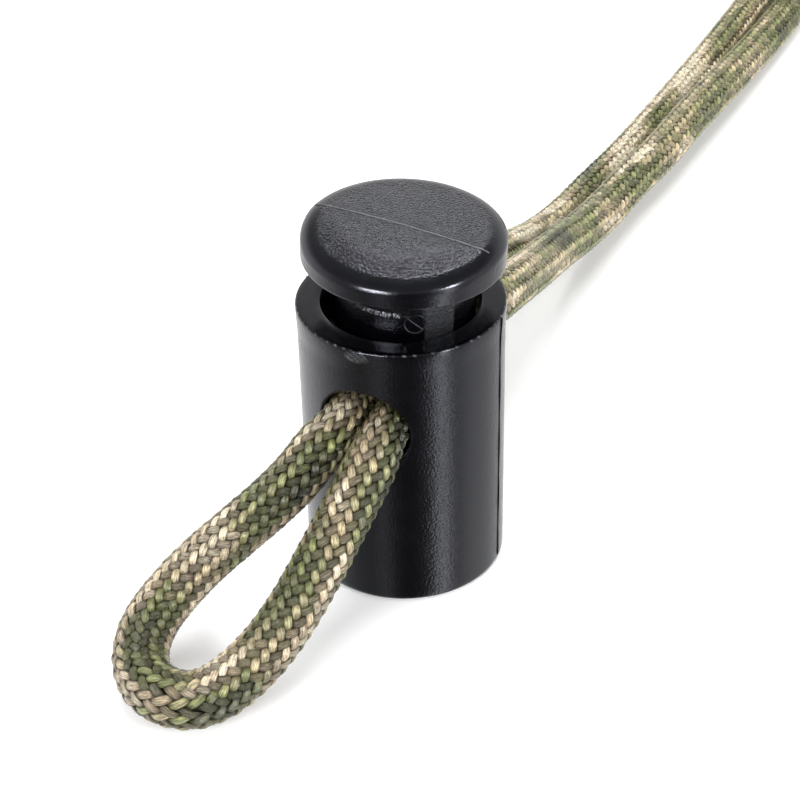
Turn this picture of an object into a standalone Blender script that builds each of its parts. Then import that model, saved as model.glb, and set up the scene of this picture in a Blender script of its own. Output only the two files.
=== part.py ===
"""Cylindrical cord lock on its drawcord.

A barrel holds a plunger on a steel spring. The plunger's window presses two strands of cord up
against the top of the barrel's cross hole. Pressing the button lets the strands run.

Units are metres and +Z is up. The origin is the centre of the barrel's foot. The cross hole runs
along Y: the cord's loop comes out at -Y and its two tails leave at +Y.
"""

import math

import bmesh
import bpy
from mathutils import Vector

MM = 0.001
GAP = 0.3 * MM
TINY = 0.01 * MM

# Barrel: a moulded cup with a slight draft and a cross hole for the cord.
BARREL_HEIGHT = 21.9 * MM
BARREL_RADIUS = 7.5 * MM
FOOT_RADIUS = 7.42 * MM
FOOT_ROUNDING = 0.4 * MM
LIP_RADIUS = 7.56 * MM
LIP_HEIGHT = 1.3 * MM
LIP_ROUNDING = 0.12 * MM
BORE_RADIUS = 5.74 * MM
FLOOR = 1.6 * MM
BOSS_RADIUS = 2.5 * MM
BOSS_TOP = 3.0 * MM
MOUTH_CHAMFER = 0.15 * MM
FLOOR_CHAMFER = 0.3 * MM
BOSS_FOOT_CHAMFER = 0.2 * MM
HOLE_RADIUS = 3.43 * MM
HOLE_Z = 14.9 * MM

# Plunger: button and stem in one moulding, in its own frame at the button's underside.
# The clamped cord holds it a little askew in the bore.
PLUNGER_PLACE = (0.29 * MM, 0, 25.54 * MM)
PLUNGER_CANT = math.radians(2.5)
BUTTON_RADIUS = 7.29 * MM
BUTTON_SIDE = 2.24 * MM
BUTTON_TOP_ROUNDING = 0.8 * MM
BUTTON_FOOT_ROUNDING = 0.25 * MM
BUTTON_DOME = 0.5 * MM
BUTTON_GABLE = 0.25 * MM
STEM_RADIUS = 5.05 * MM
STEM_SHIFT = 0.25 * MM
STEM_LENGTH = 19.54 * MM
STEM_CHAMFER = 0.3 * MM
SEAT_RADIUS = 4.2 * MM
SEAT_DEPTH = 2.2 * MM
WINDOW_WIDTH = 7.3 * MM
WINDOW_TOP = -5.1 * MM
WINDOW_BOTTOM = -12.2 * MM
WINDOW_CORNER = 1.5 * MM
RECESS_WIDTH = 4.4 * MM
RECESS_HEIGHT = 1.84 * MM
RECESS_DEPTH = 1.5 * MM
DOME_SHARES = (0.75, 0.5, 0.25, 0)

# Compression spring between the barrel's floor and the plunger's seat.
SPRING_RADIUS = 3.3 * MM
SPRING_WIRE = 0.56 * MM
SPRING_TURNS = 4.5
SPRING_TOP = 7.75 * MM
SPRING_STEPS_A_TURN = 16

# Drawcord: thinner where the lock squeezes it.
CORD_RADIUS = 1.9 * MM
CLAMPED_RADIUS = 1.5 * MM
CLAMP_END = 8.0 * MM
CLAMP_FADE = 4.0 * MM
LOOP_STEP = 3.0 * MM
TAIL_STEP = 6.0 * MM
CORD_BEVEL_STEPS = 2

# Centrelines in millimetres, from inside the lock outwards.
LOOP_ROUTE = [
    (-1.65, -0.2, 15.4), (-1.65, -4.5, 15.4), (-1.75, -7.3, 15.1), (-2.35, -8.9, 14.4),
    (-3.35, -11.0, 12.8), (-4.8, -12.7, 11.15), (-6.6, -14.4, 9.4), (-8.45, -16.2, 7.6),
    (-9.9, -18.1, 5.9), (-10.8, -20.0, 4.4), (-10.9, -21.7, 3.2), (-10.1, -23.2, 2.4),
    (-8.75, -24.3, 2.2), (-7.1, -24.7, 2.15), (-5.5, -24.3, 2.15), (-4.15, -23.1, 2.45),
    (-2.95, -21.6, 3.3), (-1.9, -19.9, 4.5), (-0.95, -17.9, 6.2), (-0.2, -15.9, 8.1),
    (0.45, -14.0, 10.0), (1.0, -12.1, 11.8), (1.45, -10.2, 13.4), (1.65, -8.6, 14.5),
    (1.65, -7.0, 15.1), (1.65, -4.5, 15.4), (1.65, -0.2, 15.4),
]
TAIL_LEFT_ROUTE = [
    (-1.65, 0.2, 15.4), (-1.65, 4.5, 15.4), (-1.75, 8.0, 15.25), (-2.2, 13.0, 14.15),
    (-3.05, 19.0, 12.0), (-3.95, 26.0, 9.0), (-4.5, 34.0, 5.8), (-4.45, 41.0, 3.4),
    (-4.1, 47.5, 2.2), (-3.55, 54.0, 1.95), (-2.8, 60.0, 1.95), (-2.15, 68.0, 1.95),
    (-1.6, 77.0, 1.95), (-1.1, 87.0, 1.95), (-0.8, 96.0, 1.95), (-0.6, 103.3, 1.95),
]
TAIL_RIGHT_ROUTE = [
    (1.65, 0.2, 15.4), (1.65, 4.5, 15.4), (1.65, 8.0, 15.2), (1.85, 13.0, 14.3),
    (1.45, 19.0, 12.4), (0.6, 26.0, 9.7), (-0.2, 34.0, 6.9), (-0.35, 41.0, 4.9),
    (-0.2, 47.5, 3.8), (0.25, 54.0, 3.6), (1.05, 60.0, 3.6), (1.7, 68.0, 3.7),
    (2.4, 77.0, 3.3), (2.95, 87.0, 2.6), (3.3, 96.0, 2.1), (3.5, 103.3, 1.95),
]

# Hank: both tails folded to and fro in two layers, drawn in at the waist by a tie.
HANK_START = 104.0 * MM
HANK_END_RADIUS = 14.0 * MM
HANK_RUN = 58.0 * MM
HANK_WAIST = 8.0 * MM
HANK_HEIGHT = 7.7 * MM
HANK_CORNER = 2.2 * MM
TIE_WIDTH = 7.0 * MM
TIE_HALF_SPAN = 9.1 * MM
TIE_THICKNESS = 0.5 * MM
TIE_CORNER = 3.0 * MM
TIE_ROOM = TIE_THICKNESS + GAP

# How far cutters stand clear of what they cut.
REACH = 1.0 * MM
OVERLAP = 0.1 * MM

BARREL_SEGMENTS = 72
PLUNGER_SEGMENTS = 64
CUTTER_SEGMENTS = 48
ROUNDING_STEPS = 4
LIP_STEPS = 3
TOP_STEPS = 5
FOOT_STEPS = 2
CORNER_STEPS = 5
CURVE_STEPS = 16
HANK_END_STEPS = 9
HANK_SIDE_STEPS = 12
HANK_FIRST_TURN = math.radians(8)


def start_empty():
    """Removes whatever objects the scene already holds."""
    for old in list(bpy.data.objects):
        bpy.data.objects.remove(old)


def material(name, colour, roughness, metallic=0.0):
    """A Principled material of one colour."""
    made = bpy.data.materials.new(name)
    made.use_nodes = True
    shader = made.node_tree.nodes["Principled BSDF"]
    shader.inputs["Base Color"].default_value = (*colour, 1)
    shader.inputs["Roughness"].default_value = roughness
    shader.inputs["Metallic"].default_value = metallic
    return made


def add_object(name, data, surface):
    """Puts mesh or curve data in the scene as one named object."""
    made = bpy.data.objects.new(name, data)
    bpy.context.scene.collection.objects.link(made)
    if surface:
        data.materials.append(surface)
    return made


def closed_mesh(name, build):
    """Mesh data filled by build(bmesh), with its faces pointing out."""
    shape = bmesh.new()
    build(shape)
    bmesh.ops.recalc_face_normals(shape, faces=shape.faces)
    data = bpy.data.meshes.new(name)
    shape.to_mesh(data)
    shape.free()
    data.shade_smooth()
    data.set_sharp_from_angle(angle=math.radians(35))
    return data


def arc(centre, radius, start, end, steps=ROUNDING_STEPS):
    """Points (r, z) on an arc from start to end, in degrees."""
    angles = [math.radians(start + (end - start) * i / steps) for i in range(steps + 1)]
    return [(centre[0] + radius * math.cos(a), centre[1] + radius * math.sin(a)) for a in angles]


def turned(shape, profile, segments):
    """Turns a profile of (r, z) points, whose two ends lie on the axis, into a closed body."""
    rings = []
    for r, z in profile:
        if r < TINY:
            rings.append([shape.verts.new((0, 0, z))])
            continue
        angles = [2 * math.pi * i / segments for i in range(segments)]
        rings.append([shape.verts.new((r * math.cos(a), r * math.sin(a), z)) for a in angles])
    for low, high in zip(rings, rings[1:]):
        for i in range(segments):
            j = (i + 1) % segments
            corners = [low[i % len(low)], low[j % len(low)], high[j % len(high)], high[i % len(high)]]
            shape.faces.new(list(dict.fromkeys(corners)))


def extruded(shape, outline, start, end):
    """Extrudes an outline of (x, z) points along Y from start to end."""
    near = [shape.verts.new((x, start, z)) for x, z in outline]
    far = [shape.verts.new((x, end, z)) for x, z in outline]
    shape.faces.new(near)
    shape.faces.new(far)
    for i in range(len(outline)):
        j = (i + 1) % len(outline)
        shape.faces.new((near[i], near[j], far[j], far[i]))


def rounded_rectangle(half_width, low, high, corner, steps):
    """Points (x, z) round a rectangle with rounded corners, centred on x = 0."""
    across = half_width - corner
    return (
        arc((across, low + corner), corner, -90, 0, steps)
        + arc((across, high - corner), corner, 0, 90, steps)
        + arc((-across, high - corner), corner, 90, 180, steps)
        + arc((-across, low + corner), corner, 180, 270, steps)
    )


def cut(target, name, data, place=(0, 0, 0), turn=(0, 0, 0)):
    """Cuts a closed cutter out of target with an exact Boolean."""
    cutter = add_object(name, data, None)
    cutter.location = place
    cutter.rotation_euler = turn
    cutter.hide_render = True
    cutter.display_type = "WIRE"
    step = target.modifiers.new(name, "BOOLEAN")
    step.operation = "DIFFERENCE"
    step.solver = "EXACT"
    step.object = cutter


def barrel_profile():
    """Half section of the barrel, from the centre of its foot round to the centre of its floor."""
    lip_foot = BARREL_HEIGHT - LIP_HEIGHT
    foot = arc((FOOT_RADIUS - FOOT_ROUNDING, FOOT_ROUNDING), FOOT_ROUNDING, -90, 0)
    lip = arc((LIP_RADIUS - LIP_ROUNDING, BARREL_HEIGHT - LIP_ROUNDING), LIP_ROUNDING, 0, 90, LIP_STEPS)
    mouth = [
        (BORE_RADIUS + MOUTH_CHAMFER, BARREL_HEIGHT),
        (BORE_RADIUS, BARREL_HEIGHT - MOUTH_CHAMFER),
    ]
    floor = [
        (BORE_RADIUS, FLOOR + FLOOR_CHAMFER),
        (BORE_RADIUS - FLOOR_CHAMFER, FLOOR),
        (BOSS_RADIUS + BOSS_FOOT_CHAMFER, FLOOR),
        (BOSS_RADIUS, FLOOR + BOSS_FOOT_CHAMFER),
        (BOSS_RADIUS, BOSS_TOP - FLOOR_CHAMFER),
        (BOSS_RADIUS - FLOOR_CHAMFER, BOSS_TOP),
        (0, BOSS_TOP),
    ]
    return [(0, 0)] + foot + [(BARREL_RADIUS, lip_foot)] + lip + mouth + floor


def make_barrel(surface):
    data = closed_mesh("barrel", lambda shape: turned(shape, barrel_profile(), BARREL_SEGMENTS))
    barrel = add_object("barrel", data, surface)
    reach = BARREL_RADIUS + REACH
    circle = arc((0, HOLE_Z), HOLE_RADIUS, 0, 360, CUTTER_SEGMENTS)[:-1]
    hole = closed_mesh("cross_hole", lambda shape: extruded(shape, circle, -reach, reach))
    cut(barrel, "cross_hole", hole)
    return barrel


def plunger_profile():
    """Half section of the plunger, from the spring seat down, round the stem and up to the button."""
    foot = -STEM_LENGTH
    stem = [
        (0, foot + SEAT_DEPTH),
        (SEAT_RADIUS, foot + SEAT_DEPTH),
        (SEAT_RADIUS, foot),
        (STEM_RADIUS - STEM_CHAMFER, foot),
        (STEM_RADIUS, foot + STEM_CHAMFER),
        (STEM_RADIUS, 0),
    ]
    low_edge = (BUTTON_RADIUS - BUTTON_FOOT_ROUNDING, BUTTON_FOOT_ROUNDING)
    top_edge = (BUTTON_RADIUS - BUTTON_TOP_ROUNDING, BUTTON_SIDE - BUTTON_TOP_ROUNDING)
    side = arc(low_edge, BUTTON_FOOT_ROUNDING, -90, 0, FOOT_STEPS)
    side += arc(top_edge, BUTTON_TOP_ROUNDING, 0, 90, TOP_STEPS)
    flat = BUTTON_RADIUS - BUTTON_TOP_ROUNDING
    dome = [(flat * s, BUTTON_SIDE + BUTTON_DOME * (1 - s * s)) for s in DOME_SHARES]
    return stem + side + dome


def build_plunger(shape):
    """Turns the plunger, then shifts its stem and slopes its top down on both sides of the parting line."""
    turned(shape, plunger_profile(), PLUNGER_SEGMENTS)
    for v in shape.verts:
        if v.co.z > BUTTON_FOOT_ROUNDING + TINY:
            rise = min(1, (v.co.z - BUTTON_FOOT_ROUNDING) / BUTTON_SIDE)
            v.co.z -= rise * BUTTON_GABLE * abs(v.co.y) / BUTTON_RADIUS
        elif math.hypot(v.co.x, v.co.y) < STEM_RADIUS + TINY:
            v.co.x += STEM_SHIFT


def make_plunger(surface):
    plunger = add_object("plunger", closed_mesh("plunger", build_plunger), surface)
    turn = (0, PLUNGER_CANT, 0)
    plunger.location = PLUNGER_PLACE
    plunger.rotation_euler = turn
    half = WINDOW_WIDTH / 2
    outline = rounded_rectangle(half, WINDOW_BOTTOM, WINDOW_TOP, WINDOW_CORNER, CORNER_STEPS)
    outline = [(x + STEM_SHIFT, z) for x, z in outline]
    reach = STEM_RADIUS + REACH
    window = closed_mesh("window", lambda shape: extruded(shape, outline, -reach, reach))
    cut(plunger, "window", window, PLUNGER_PLACE, turn)
    low, high = STEM_SHIFT - RECESS_WIDTH / 2, STEM_SHIFT + RECESS_WIDTH / 2
    corners = [(low, -RECESS_HEIGHT), (high, -RECESS_HEIGHT), (high, OVERLAP), (low, OVERLAP)]
    inner, outer = STEM_RADIUS - RECESS_DEPTH, STEM_RADIUS + OVERLAP
    for name, start, end in (("recess_front", -outer, -inner), ("recess_back", inner, outer)):
        recess = closed_mesh(name, lambda shape, a=start, b=end: extruded(shape, corners, a, b))
        cut(plunger, name, recess, PLUNGER_PLACE, turn)
    return plunger


def tube(name, points, radius, surface, shares=None):
    """A round tube along points, with filled ends. shares scale its radius at each point."""
    data = bpy.data.curves.new(name, "CURVE")
    data.dimensions = "3D"
    data.bevel_depth = radius
    data.bevel_resolution = CORD_BEVEL_STEPS
    data.use_fill_caps = True
    line = data.splines.new("POLY")
    line.points.add(len(points) - 1)
    for i, place in enumerate(points):
        line.points[i].co = (*place, 1)
        line.points[i].radius = shares[i] if shares else 1
    return add_object(name, data, surface)


def make_spring(surface):
    wire = SPRING_WIRE / 2
    low, high = FLOOR + GAP + wire, SPRING_TOP - wire
    steps = round(SPRING_TURNS * SPRING_STEPS_A_TURN)
    points = []
    for i in range(steps + 1):
        a = 2 * math.pi * i / SPRING_STEPS_A_TURN
        z = low + (high - low) * i / steps
        points.append((SPRING_RADIUS * math.cos(a), SPRING_RADIUS * math.sin(a), z))
    return tube("spring", points, wire, surface)


def smooth_curve(route, step):
    """Points step apart on the Catmull-Rom curve through a route."""
    knots = [Vector(p) * MM for p in route]
    knots = [2 * knots[0] - knots[1]] + knots + [2 * knots[-1] - knots[-2]]
    fine = []
    for a, b, c, d in zip(knots, knots[1:], knots[2:], knots[3:]):
        for i in range(CURVE_STEPS):
            t = i / CURVE_STEPS
            line = 2 * b + (c - a) * t
            fine.append((line + (2 * a - 5 * b + 4 * c - d) * t**2 + (3 * b - a - 3 * c + d) * t**3) / 2)
    fine.append(knots[-2])
    along = [0]
    for p, q in zip(fine, fine[1:]):
        along.append(along[-1] + (q - p).length)
    count = math.ceil(along[-1] / step)
    points, k = [], 0
    for i in range(count + 1):
        at = along[-1] * i / count
        while k < len(fine) - 2 and along[k + 1] < at:
            k += 1
        points.append(fine[k].lerp(fine[k + 1], (at - along[k]) / (along[k + 1] - along[k])))
    return points


def clamped_share(place):
    """The cord's radius at a place, as a share of its free radius."""
    t = min(1, max(0, (abs(place.y) - CLAMP_END) / CLAMP_FADE))
    squeezed = CLAMPED_RADIUS / CORD_RADIUS
    return squeezed + (1 - squeezed) * t * t * (3 - 2 * t)


def make_cord(name, route, step, surface):
    points = smooth_curve(route, step)
    return tube(name, points, CORD_RADIUS, surface, [clamped_share(p) for p in points])


def hank_half_width(y):
    """Half the hank's width at y: round ends, and a waist half way along."""
    near, far = HANK_START + HANK_END_RADIUS, HANK_START + HANK_END_RADIUS + HANK_RUN
    beyond = max(near - y, y - far, 0)
    if beyond > 0:
        return math.sqrt(max(0, HANK_END_RADIUS**2 - beyond**2))
    drawn = (1 - math.cos(2 * math.pi * (y - near) / HANK_RUN)) / 2
    return HANK_END_RADIUS - (HANK_END_RADIUS - HANK_WAIST) * drawn


def hank_stations():
    """Where along Y the hank's solid has its sections."""
    near, far = HANK_START + HANK_END_RADIUS, HANK_START + HANK_END_RADIUS + HANK_RUN
    quarter = math.pi / 2 - HANK_FIRST_TURN
    turns = [HANK_FIRST_TURN + quarter * i / HANK_END_STEPS for i in range(HANK_END_STEPS)]
    end = [HANK_END_RADIUS * math.cos(a) for a in turns]
    run = [near + HANK_RUN * i / HANK_SIDE_STEPS for i in range(HANK_SIDE_STEPS + 1)]
    groove = TIE_WIDTH / 2 + GAP
    middle = (near + far) / 2
    tied = [middle - groove - GAP, middle - groove, middle, middle + groove, middle + groove + GAP]
    run = [y for y in run if abs(y - middle) > groove + 2 * GAP]
    return [near - e for e in end] + sorted(run + tied) + [far + e for e in reversed(end)]


def build_hank(shape):
    """Lofts the hank from sections with bevelled corners, with a shallow groove under its tie."""
    middle = HANK_START + HANK_END_RADIUS + HANK_RUN / 2
    rings = []
    for y in hank_stations():
        w = hank_half_width(y)
        sunk = TIE_ROOM if abs(y - middle) < TIE_WIDTH / 2 + GAP + TINY else 0
        corner = min(HANK_CORNER, w / 2)
        outline = rounded_rectangle(w, sunk, HANK_HEIGHT - sunk, corner, 1)
        rings.append([shape.verts.new((x, y, z)) for x, z in outline])
    for a, b in zip(rings, rings[1:]):
        for i in range(len(a)):
            j = (i + 1) % len(a)
            shape.faces.new((a[i], a[j], b[j], b[i]))
    shape.faces.new(rings[0])
    shape.faces.new(rings[-1])


def build_tie(shape):
    """A flat band that goes once round the hank's waist."""
    middle = HANK_START + HANK_END_RADIUS + HANK_RUN / 2
    start, end = middle - TIE_WIDTH / 2, middle + TIE_WIDTH / 2
    outer = rounded_rectangle(TIE_HALF_SPAN, 0, HANK_HEIGHT, TIE_CORNER, CORNER_STEPS)
    inner_half = TIE_HALF_SPAN - TIE_THICKNESS
    inner_high = HANK_HEIGHT - TIE_THICKNESS
    inner_corner = TIE_CORNER - TIE_THICKNESS
    inner = rounded_rectangle(inner_half, TIE_THICKNESS, inner_high, inner_corner, CORNER_STEPS)
    loops = [
        [shape.verts.new((x, y, z)) for x, z in outline]
        for y, outline in ((start, outer), (end, outer), (end, inner), (start, inner))
    ]
    for a, b in zip(loops, loops[1:] + loops[:1]):
        for i in range(len(a)):
            j = (i + 1) % len(a)
            shape.faces.new((a[i], a[j], b[j], b[i]))


def main():
    start_empty()
    make_barrel(material("barrel_plastic", (0.012, 0.012, 0.014), 0.42))
    make_plunger(material("plunger_plastic", (0.013, 0.013, 0.015), 0.38))
    make_spring(material("spring_steel", (0.62, 0.62, 0.6), 0.3, 1.0))
    cord = material("camouflage_cord", (0.27, 0.26, 0.15), 0.6)
    make_cord("cord_loop", LOOP_ROUTE, LOOP_STEP, cord)
    make_cord("cord_tail_left", TAIL_LEFT_ROUTE, TAIL_STEP, cord)
    make_cord("cord_tail_right", TAIL_RIGHT_ROUTE, TAIL_STEP, cord)
    add_object("cord_hank", closed_mesh("cord_hank", build_hank), cord)
    tie = material("tie_band", (0.03, 0.03, 0.03), 0.7)
    add_object("hank_tie", closed_mesh("hank_tie", build_tie), tie)


main()
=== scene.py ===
"""Looks and fine geometry of the cord lock on its drawcord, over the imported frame."""

import math

import bmesh
import bpy
import numpy as np
from mathutils import Euler, Matrix, Vector, noise


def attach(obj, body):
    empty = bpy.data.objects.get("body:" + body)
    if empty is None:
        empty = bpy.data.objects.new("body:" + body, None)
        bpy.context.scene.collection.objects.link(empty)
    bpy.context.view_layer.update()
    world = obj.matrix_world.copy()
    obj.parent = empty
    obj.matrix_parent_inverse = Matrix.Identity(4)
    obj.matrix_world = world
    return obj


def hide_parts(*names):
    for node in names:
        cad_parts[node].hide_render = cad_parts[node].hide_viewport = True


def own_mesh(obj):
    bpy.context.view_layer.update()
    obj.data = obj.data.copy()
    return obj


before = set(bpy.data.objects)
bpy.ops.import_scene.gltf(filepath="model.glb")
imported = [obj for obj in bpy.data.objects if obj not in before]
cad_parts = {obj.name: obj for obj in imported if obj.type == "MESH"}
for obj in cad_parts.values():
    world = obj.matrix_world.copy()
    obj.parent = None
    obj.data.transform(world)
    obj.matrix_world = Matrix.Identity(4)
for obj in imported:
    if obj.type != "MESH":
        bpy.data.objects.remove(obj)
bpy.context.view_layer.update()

MM = 0.001

# ---------------------------------------------------------------- sizes, as in the CAD source
BARREL_HEIGHT = 21.9
BARREL_RADIUS = 7.5
FOOT_RADIUS = 7.42
FOOT_ROUNDING = 0.4
LIP_RADIUS = 7.56
LIP_HEIGHT = 1.3
LIP_ROUNDING = 0.14
BORE_RADIUS = 5.74
FLOOR = 1.6
HOLE_RADIUS = 3.43
HOLE_Z = 14.9
HOLE_ROUNDING = 0.22

PLUNGER_PLACE = (0.29, 0, 25.54)
PLUNGER_CANT = math.radians(2.5)
BUTTON_RADIUS = 7.29
BUTTON_SIDE = 2.49
BUTTON_TOP_ROUNDING = 1.2
BUTTON_TOP_DROP = 0.85
BUTTON_FRONT_DROOP = 0.34
BUTTON_FOOT_ROUNDING = 0.2
BUTTON_DOME = 0.18
BUTTON_FRONT_SLOPE = 0.038
BUTTON_BACK_SLOPE = 0.008
CREST_START = -0.39
CREST_SLOPE = -0.0652
STEM_RADIUS = 5.05
STEM_SHIFT = 0.25
STEM_LENGTH = 19.54
WINDOW_WIDTH, WINDOW_TOP, WINDOW_BOTTOM, WINDOW_CORNER = 7.3, -5.1, -12.2, 1.5
RECESS_WIDTH, RECESS_HEIGHT, RECESS_DEPTH = 4.4, 1.84, 1.5
STEM_CHAMFER, SEAT_RADIUS, SEAT_DEPTH = 0.3, 4.2, 2.2
FACET_TURN, FACET_DISTANCE, FACET_FOOT = 51.0, 4.91, -4.1
SPRING_FOOT, SPRING_TOP, SPRING_RADIUS, SPRING_TURNS, WIRE_RADIUS = 1.9, 7.75, 3.3, 4.5, 0.28
GRAIN = 0.17  # size of the spark-eroded grain
# The specular tint paints a bluish cast of the light into the plastic's reflections.
PLASTIC_GLOSS, PLASTIC_TINT, PALE_MARK_GREY = 0.55, (0.86, 0.88, 1.0, 1), (0.15, 0.153, 0.16, 1)

CORD_RADIUS = 1.9
BRAID_PITCH = 16.6
CARRIERS = 18  # yarns that go each way
YARN_HALF_THICKNESS = 0.165
YARN_LIFT = 0.2
YARN_HALF_WIDTH, YARN_SWELL = 0.255, 0.045
YARN_SECTION = [(-1, 0), (-0.72, 0.72), (0, 1), (0.72, 0.72), (1, 0), (0, -0.8)]
CORE_DEPTH = 0.5
CORD_VISUAL_RADIUS = 1.97
CORD_MOUTH_RADIUS = 1.68

LOOP_ROUTE = [
    (-1.65, -0.2, 15.4), (-1.65, -4.5, 15.4), (-1.75, -7.3, 15.1), (-2.35, -8.9, 14.4),
    (-3.35, -11.0, 12.8), (-4.8, -12.7, 11.15), (-6.6, -14.4, 9.4), (-8.45, -16.2, 7.6),
    (-9.9, -18.1, 5.9), (-10.8, -20.0, 4.4), (-10.9, -21.7, 3.2), (-10.1, -23.2, 2.4),
    (-8.75, -24.3, 2.2), (-7.1, -24.7, 2.15), (-5.5, -24.3, 2.15), (-4.15, -23.1, 2.45),
    (-2.95, -21.6, 3.3), (-1.9, -19.9, 4.5), (-0.95, -17.9, 6.2), (-0.2, -15.9, 8.1),
    (0.45, -14.0, 10.0), (1.0, -12.1, 11.8), (1.45, -10.2, 13.4), (1.65, -8.6, 14.5),
    (1.65, -7.0, 15.1), (1.65, -4.5, 15.4), (1.65, -0.2, 15.4),
]
TAIL_LEFT_ROUTE = [
    (-1.65, 0.2, 15.4), (-1.65, 4.5, 15.4), (-1.75, 8.0, 15.25), (-2.2, 13.0, 14.15),
    (-3.05, 19.0, 12.0), (-3.95, 26.0, 9.0), (-4.5, 34.0, 5.8), (-4.45, 41.0, 3.4),
    (-4.1, 47.5, 2.2), (-3.55, 54.0, 1.95), (-2.8, 60.0, 1.95), (-2.15, 68.0, 1.95),
    (-1.6, 77.0, 1.95), (-1.1, 87.0, 1.95), (-0.8, 96.0, 1.95), (-0.6, 103.3, 1.95),
]
TAIL_RIGHT_ROUTE = [
    (1.65, 0.2, 15.4), (1.65, 4.5, 15.4), (1.65, 8.0, 15.2), (1.85, 13.0, 14.3),
    (1.45, 19.0, 12.4), (0.6, 26.0, 9.7), (-0.2, 34.0, 6.9), (-0.35, 41.0, 4.9),
    (-0.2, 47.5, 3.8), (0.25, 54.0, 3.6), (1.05, 60.0, 3.6), (1.7, 68.0, 3.7),
    (2.4, 77.0, 3.3), (2.95, 87.0, 2.6), (3.3, 96.0, 2.1), (3.5, 103.3, 1.95),
]


# ---------------------------------------------------------------- shader helpers
def new_material(name):
    made = bpy.data.materials.new(name)
    made.use_nodes = True
    return made, made.node_tree, made.node_tree.nodes["Principled BSDF"]


def node(tree, kind, inputs=None, **settings):
    made = tree.nodes.new(kind)
    for key, value in settings.items():
        setattr(made, key, value)
    set_inputs(made, inputs or {})
    return made


def set_inputs(made, values):
    for key, value in values.items():
        made.inputs[key].default_value = value


def link(source, output, target, slot):
    source.id_data.links.new(source.outputs[output], target.inputs[slot])


def attribute(tree, name):
    return node(tree, "ShaderNodeAttribute", attribute_name=name)


def solid_noise(tree, size, detail, roughness=0.5):
    """Noise in the object's own space, with features about size millimetres across."""
    made = node(tree, "ShaderNodeTexNoise",
                {"Scale": 1 / (size * MM), "Detail": detail, "Roughness": roughness})
    link(node(tree, "ShaderNodeTexCoord"), "Object", made, "Vector")
    return made


def add_bump(source, output, depth, shader, *slots):
    """Bumps the shader by the source's value, depth millimetres deep."""
    bump = node(source.id_data, "ShaderNodeBump", {"Strength": 1.0, "Distance": depth * MM})
    link(source, output, bump, "Height")
    for slot in slots:
        link(bump, "Normal", shader, slot)


def vary_roughness(source, shader, limits):
    """Makes the roughness follow a noise; limits are the map range's inputs."""
    dull = node(source.id_data, "ShaderNodeMapRange", limits)
    link(source, "Fac", dull, "Value")
    link(dull, "Result", shader, "Roughness")


def ramp(tree, stops):
    made = tree.nodes.new("ShaderNodeValToRGB")
    band = made.color_ramp
    while len(band.elements) < len(stops):
        band.elements.new(0.5)
    for element, (at, colour) in zip(band.elements, stops):
        element.position = at
        element.color = (*colour, 1) if len(colour) == 3 else colour
    return made


def grey(v):
    return (v, v, v)


def plastic(name, colour, roughness, bump_height):
    """Near-black moulded plastic: spark-eroded grain and pale marks where the mesh says so, and dust. The
    pale marks are real scars, scuffs and nicks, and on the plunger a painted highlight on small ridges and
    edges.
    """
    made, tree, shader = new_material(name)
    grained = attribute(tree, "grained")
    pale_mark = attribute(tree, "pale_mark")
    fine = solid_noise(tree, GRAIN, 2.0, 0.55)
    coarse = solid_noise(tree, 1.6, 4.0, 0.6)

    shade = ramp(tree, [(0.3, [c * 0.7 for c in colour]), (0.7, [c * 1.4 for c in colour])])
    link(coarse, "Fac", shade, "Fac")
    # Pale grey is mixed in where the mesh says so: real scars and scuffs, and painted highlight on the
    # plunger's ridges and edges.
    pale_marked = node(tree, "ShaderNodeMix", {"B": PALE_MARK_GREY}, data_type="RGBA")
    link(pale_mark, "Fac", pale_marked, "Factor")
    link(shade, "Color", pale_marked, "A")
    link(pale_marked, "Result", shader, "Base Color")

    vary_roughness(coarse, shader, {"From Min": 0.3, "From Max": 0.7,
                                    "To Min": roughness - 0.05, "To Max": roughness + 0.07})

    height = node(tree, "ShaderNodeMath", operation="MULTIPLY")
    link(fine, "Fac", height, 0)
    link(grained, "Fac", height, 1)
    add_bump(height, "Value", bump_height, shader, "Normal")
    set_inputs(shader, {"Specular IOR Level": PLASTIC_GLOSS, "Specular Tint": PLASTIC_TINT})
    return made


def yarn_material():
    """Lustrous filament yarn: colour, openness, place and direction of the yarn come from the mesh."""
    made, tree, shader = new_material("camouflage_yarn")
    colour = attribute(tree, "yarn_colour")
    where = attribute(tree, "yarn_place")
    across = attribute(tree, "yarn_across")

    stretch = node(tree, "ShaderNodeMapping", {"Scale": (2.2, 17.0, 3.1)}, vector_type="POINT")
    link(where, "Vector", stretch, "Vector")
    strands = node(tree, "ShaderNodeTexNoise", {"Scale": 1.0, "Detail": 3.0, "Roughness": 0.65})
    link(stretch, "Vector", strands, "Vector")

    # The strand noise lightens and darkens the colour along the filaments: partly the filaments' own
    # streaks, partly painted glints.
    light = ramp(tree, [(0.3, grey(0.22)), (0.5, grey(0.9)), (0.7, grey(1.9))])
    link(strands, "Fac", light, "Fac")
    mixed = node(tree, "ShaderNodeMix", {"Factor": 1.0}, data_type="RGBA", blend_type="MULTIPLY")
    link(colour, "Color", mixed, "A")
    link(light, "Color", mixed, "B")
    link(mixed, "Result", shader, "Base Color")

    add_bump(strands, "Fac", 0.14, shader, "Normal", "Coat Normal")
    link(across, "Vector", shader, "Tangent")
    link(colour, "Alpha", shader, "Coat Weight")
    set_inputs(shader, {"Metallic": 0.5, "Anisotropic": 0.85, "Roughness": 0.42,
                        "Coat Roughness": 0.17, "Coat IOR": 1.9})
    return made


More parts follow.
